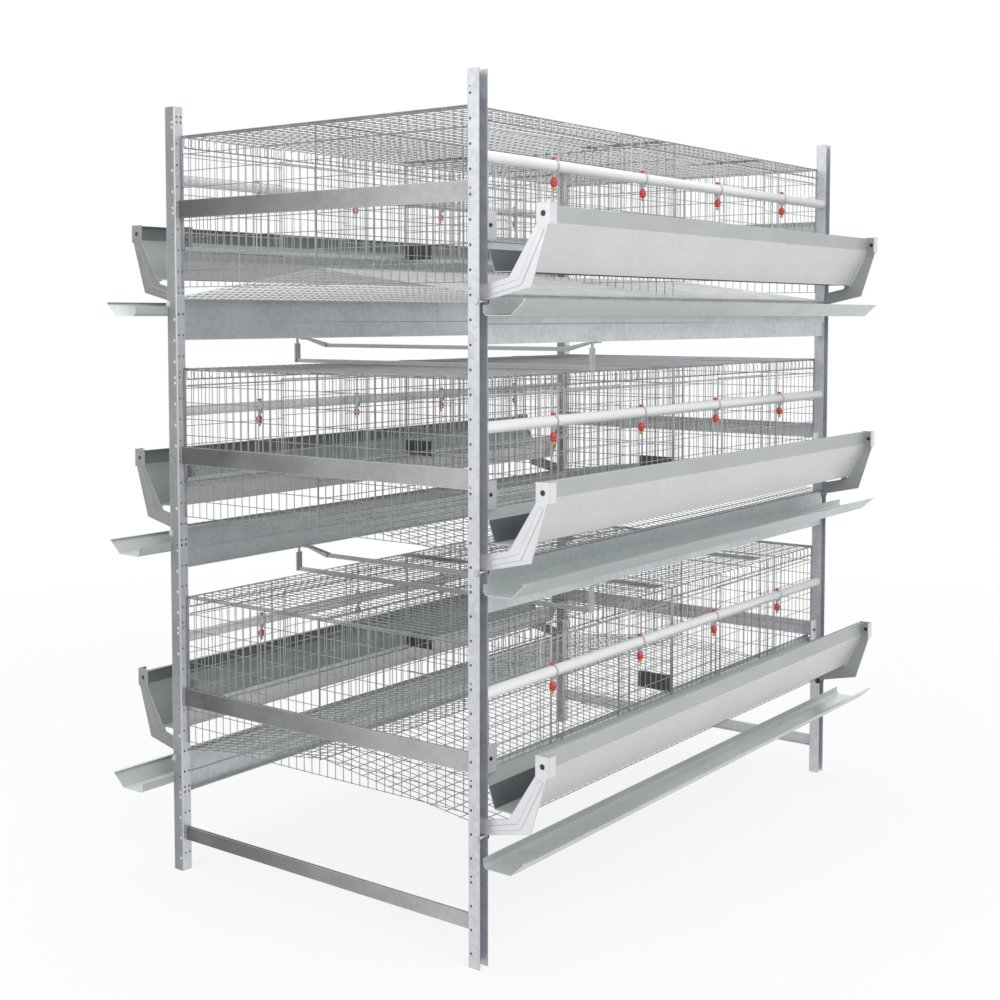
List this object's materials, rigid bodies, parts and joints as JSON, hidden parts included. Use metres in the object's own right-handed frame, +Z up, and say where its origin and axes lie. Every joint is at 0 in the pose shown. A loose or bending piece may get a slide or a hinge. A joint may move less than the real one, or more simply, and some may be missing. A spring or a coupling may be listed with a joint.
{
  "type": "battery cage",
  "caption": "Tiered wire poultry cage with back-to-back rows on folded posts, feed troughs on arms, egg gutters, nipple drinker lines and sliding wire doors.",
  "frame": {"origin": "on the floor at the middle of the plan", "axes": "+X along the rows, +Y across them from the front row to the rear row, +Z up"},
  "size_m": [1.94, 1.3064, 1.92],
  "materials": {
    "galvanised_frame": "folded galvanised sheet",
    "galvanised_arm": "pressed galvanised sheet",
    "galvanised_bar": "galvanised round bar",
    "galvanised_wire": "galvanised welded wire",
    "galvanised_trough": "folded galvanised sheet",
    "white_pipe": "extruded white plastic",
    "grey_clip": "moulded grey plastic",
    "red_nipple": "moulded red plastic",
    "orange_pin": "moulded orange plastic"
  },
  "bodies": {
    "frame": {"post_left_front": "galvanised_frame", "post_left_rear": "galvanised_frame", "post_right_front": "galvanised_frame", "post_right_rear": "galvanised_frame", "end_beams_left": "galvanised_frame", "end_beams_right": "galvanised_frame", "side_rails": "galvanised_frame", "trough_arms": "galvanised_arm", "belt_carriers": "galvanised_bar", "drinker_pipes": "white_pipe", "nipple_saddles": "grey_clip", "nipple_bodies": "red_nipple", "post_brackets": "galvanised_arm", "roof_low": "galvanised_wire", "floor_low": "galvanised_wire", "dividers_low": "galvanised_wire", "trough_low_front": "galvanised_trough", "gutter_low_front": "galvanised_trough", "front_low_front": "galvanised_wire", "trough_low_rear": "galvanised_trough", "gutter_low_rear": "galvanised_trough", "front_low_rear": "galvanised_wire", "roof_mid": "galvanised_wire", "floor_mid": "galvanised_wire", "dividers_mid": "galvanised_wire", "trough_mid_front": "galvanised_trough", "gutter_mid_front": "galvanised_trough", "front_mid_front": "galvanised_wire", "trough_mid_rear": "galvanised_trough", "gutter_mid_rear": "galvanised_trough", "front_mid_rear": "galvanised_wire", "roof_top": "galvanised_wire", "floor_top": "galvanised_wire", "dividers_top": "galvanised_wire", "trough_top_front": "galvanised_trough", "gutter_top_front": "galvanised_trough", "front_top_front": "galvanised_wire", "trough_top_rear": "galvanised_trough", "gutter_top_rear": "galvanised_trough", "front_top_rear": "galvanised_wire"},
    "pins_low_front": {"pins_low_front": "orange_pin"},
    "door_low_front_1": {"door_low_front_1": "galvanised_wire"},
    "door_low_front_2": {"door_low_front_2": "galvanised_wire"},
    "pins_low_rear": {"pins_low_rear": "orange_pin"},
    "door_low_rear_1": {"door_low_rear_1": "galvanised_wire"},
    "door_low_rear_2": {"door_low_rear_2": "galvanised_wire"},
    "pins_mid_front": {"pins_mid_front": "orange_pin"},
    "door_mid_front_1": {"door_mid_front_1": "galvanised_wire"},
    "door_mid_front_2": {"door_mid_front_2": "galvanised_wire"},
    "pins_mid_rear": {"pins_mid_rear": "orange_pin"},
    "door_mid_rear_1": {"door_mid_rear_1": "galvanised_wire"},
    "door_mid_rear_2": {"door_mid_rear_2": "galvanised_wire"},
    "pins_top_front": {"pins_top_front": "orange_pin"},
    "door_top_front_1": {"door_top_front_1": "galvanised_wire"},
    "door_top_front_2": {"door_top_front_2": "galvanised_wire"},
    "pins_top_rear": {"pins_top_rear": "orange_pin"},
    "door_top_rear_1": {"door_top_rear_1": "galvanised_wire"},
    "door_top_rear_2": {"door_top_rear_2": "galvanised_wire"}
  },
  "joints": [
    {"name": "pins_low_front_lift", "type": "slide", "parent": "frame", "child": "pins_low_front", "axis": [0, 0, 1], "range_m": [0, 0.0015]},
    {"name": "door_low_front_1_slide", "type": "slide", "parent": "frame", "child": "door_low_front_1", "axis": [1, 0, 0], "range_m": [0, 0.24]},
    {"name": "door_low_front_2_slide", "type": "slide", "parent": "frame", "child": "door_low_front_2", "axis": [1, 0, 0], "range_m": [0, 0.24]},
    {"name": "pins_low_rear_lift", "type": "slide", "parent": "frame", "child": "pins_low_rear", "axis": [0, 0, 1], "range_m": [0, 0.0015]},
    {"name": "door_low_rear_1_slide", "type": "slide", "parent": "frame", "child": "door_low_rear_1", "axis": [1, 0, 0], "range_m": [0, 0.24]},
    {"name": "door_low_rear_2_slide", "type": "slide", "parent": "frame", "child": "door_low_rear_2", "axis": [1, 0, 0], "range_m": [0, 0.24]},
    {"name": "pins_mid_front_lift", "type": "slide", "parent": "frame", "child": "pins_mid_front", "axis": [0, 0, 1], "range_m": [0, 0.0015]},
    {"name": "door_mid_front_1_slide", "type": "slide", "parent": "frame", "child": "door_mid_front_1", "axis": [1, 0, 0], "range_m": [0, 0.24]},
    {"name": "door_mid_front_2_slide", "type": "slide", "parent": "frame", "child": "door_mid_front_2", "axis": [1, 0, 0], "range_m": [0, 0.24]},
    {"name": "pins_mid_rear_lift", "type": "slide", "parent": "frame", "child": "pins_mid_rear", "axis": [0, 0, 1], "range_m": [0, 0.0015]},
    {"name": "door_mid_rear_1_slide", "type": "slide", "parent": "frame", "child": "door_mid_rear_1", "axis": [1, 0, 0], "range_m": [0, 0.24]},
    {"name": "door_mid_rear_2_slide", "type": "slide", "parent": "frame", "child": "door_mid_rear_2", "axis": [1, 0, 0], "range_m": [0, 0.24]},
    {"name": "pins_top_front_lift", "type": "slide", "parent": "frame", "child": "pins_top_front", "axis": [0, 0, 1], "range_m": [0, 0.0015]},
    {"name": "door_top_front_1_slide", "type": "slide", "parent": "frame", "child": "door_top_front_1", "axis": [1, 0, 0], "range_m": [0, 0.24]},
    {"name": "door_top_front_2_slide", "type": "slide", "parent": "frame", "child": "door_top_front_2", "axis": [1, 0, 0], "range_m": [0, 0.24]},
    {"name": "pins_top_rear_lift", "type": "slide", "parent": "frame", "child": "pins_top_rear", "axis": [0, 0, 1], "range_m": [0, 0.0015]},
    {"name": "door_top_rear_1_slide", "type": "slide", "parent": "frame", "child": "door_top_rear_1", "axis": [1, 0, 0], "range_m": [0, 0.24]},
    {"name": "door_top_rear_2_slide", "type": "slide", "parent": "frame", "child": "door_top_rear_2", "axis": [1, 0, 0], "range_m": [0, 0.24]}
  ]
}
